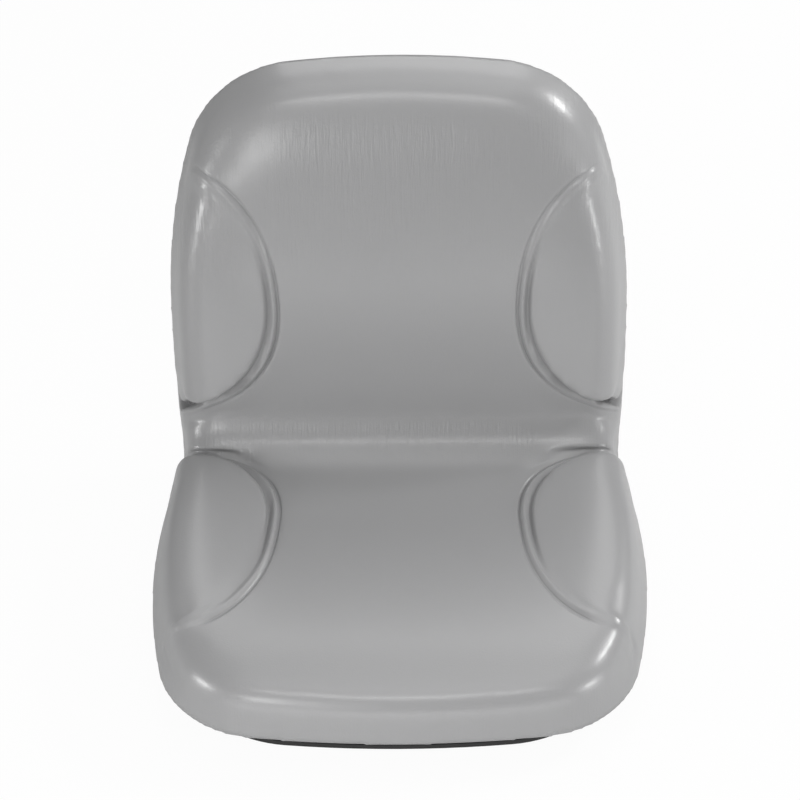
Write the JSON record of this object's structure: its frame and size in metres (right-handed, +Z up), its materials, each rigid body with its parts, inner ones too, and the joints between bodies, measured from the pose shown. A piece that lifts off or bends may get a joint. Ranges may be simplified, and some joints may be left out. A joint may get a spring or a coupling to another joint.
{
  "type": "tractor seat",
  "caption": "High-back bucket seat for a tractor: seamless grey vinyl cushion with D-shaped side bolsters, in a black pressed steel pan with bolt-down pads.",
  "frame": {"origin": "centre of the mounting bolt pattern, on the plane of the mounting pads' undersides", "axes": "+Z up, the sitter faces -Y, +X to the sitter's left"},
  "size_m": [0.4924, 0.5133, 0.4877],
  "materials": {
    "vinyl": "satin grained vinyl",
    "pan_paint": "black powder coat",
    "trim_black": "matt",
    "nut_zinc": "zinc plated"
  },
  "bodies": {
    "root": {"cushion": "vinyl", "seat_pan": "pan_paint", "edge_trim": "trim_black", "weld_nuts": "nut_zinc"}
  },
  "joints": []
}
